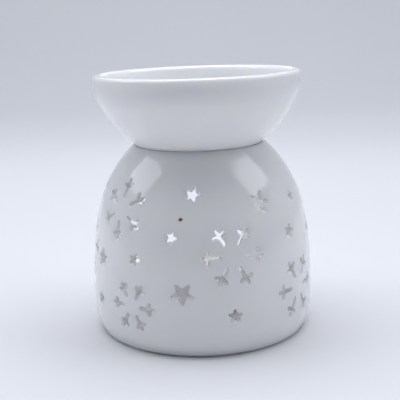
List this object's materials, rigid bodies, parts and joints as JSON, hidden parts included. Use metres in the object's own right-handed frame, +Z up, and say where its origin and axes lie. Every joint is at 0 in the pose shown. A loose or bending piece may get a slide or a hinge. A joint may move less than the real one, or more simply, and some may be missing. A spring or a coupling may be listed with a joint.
{
  "type": "tealight holder",
  "caption": "Glazed ceramic tealight holder with a lift-off melt dish, snowflake and star cut-outs and an arched rear doorway for the tealight.",
  "frame": {"origin": "centre of the foot ring, on the surface that the holder stands on", "axes": "+Z up, +Y out through the doorway, so the decorated front faces -Y"},
  "size_m": [0.085, 0.0849, 0.0984],
  "materials": {
    "body_glaze": "gloss white glaze",
    "dish_glaze": "gloss white glaze",
    "cup_metal": "bright pressed foil",
    "candle_wax": "waxy",
    "tab_metal": "tinned",
    "wick_cotton": "braided cotton, waxed"
  },
  "bodies": {
    "holder": {"holder_body": "body_glaze"},
    "dish": {"melt_dish": "dish_glaze"},
    "tealight": {"tealight_cup": "cup_metal", "tealight_wax": "candle_wax", "wick_tab": "tab_metal", "wick": "wick_cotton"}
  },
  "joints": [
    {"name": "dish_lift", "type": "slide", "parent": "holder", "child": "dish", "axis": [0, 0, 1], "range_m": [0, 0.05]},
    {"name": "tealight_slide", "type": "slide", "parent": "holder", "child": "tealight", "axis": [0, 1, 0], "range_m": [0, 0.072]}
  ]
}
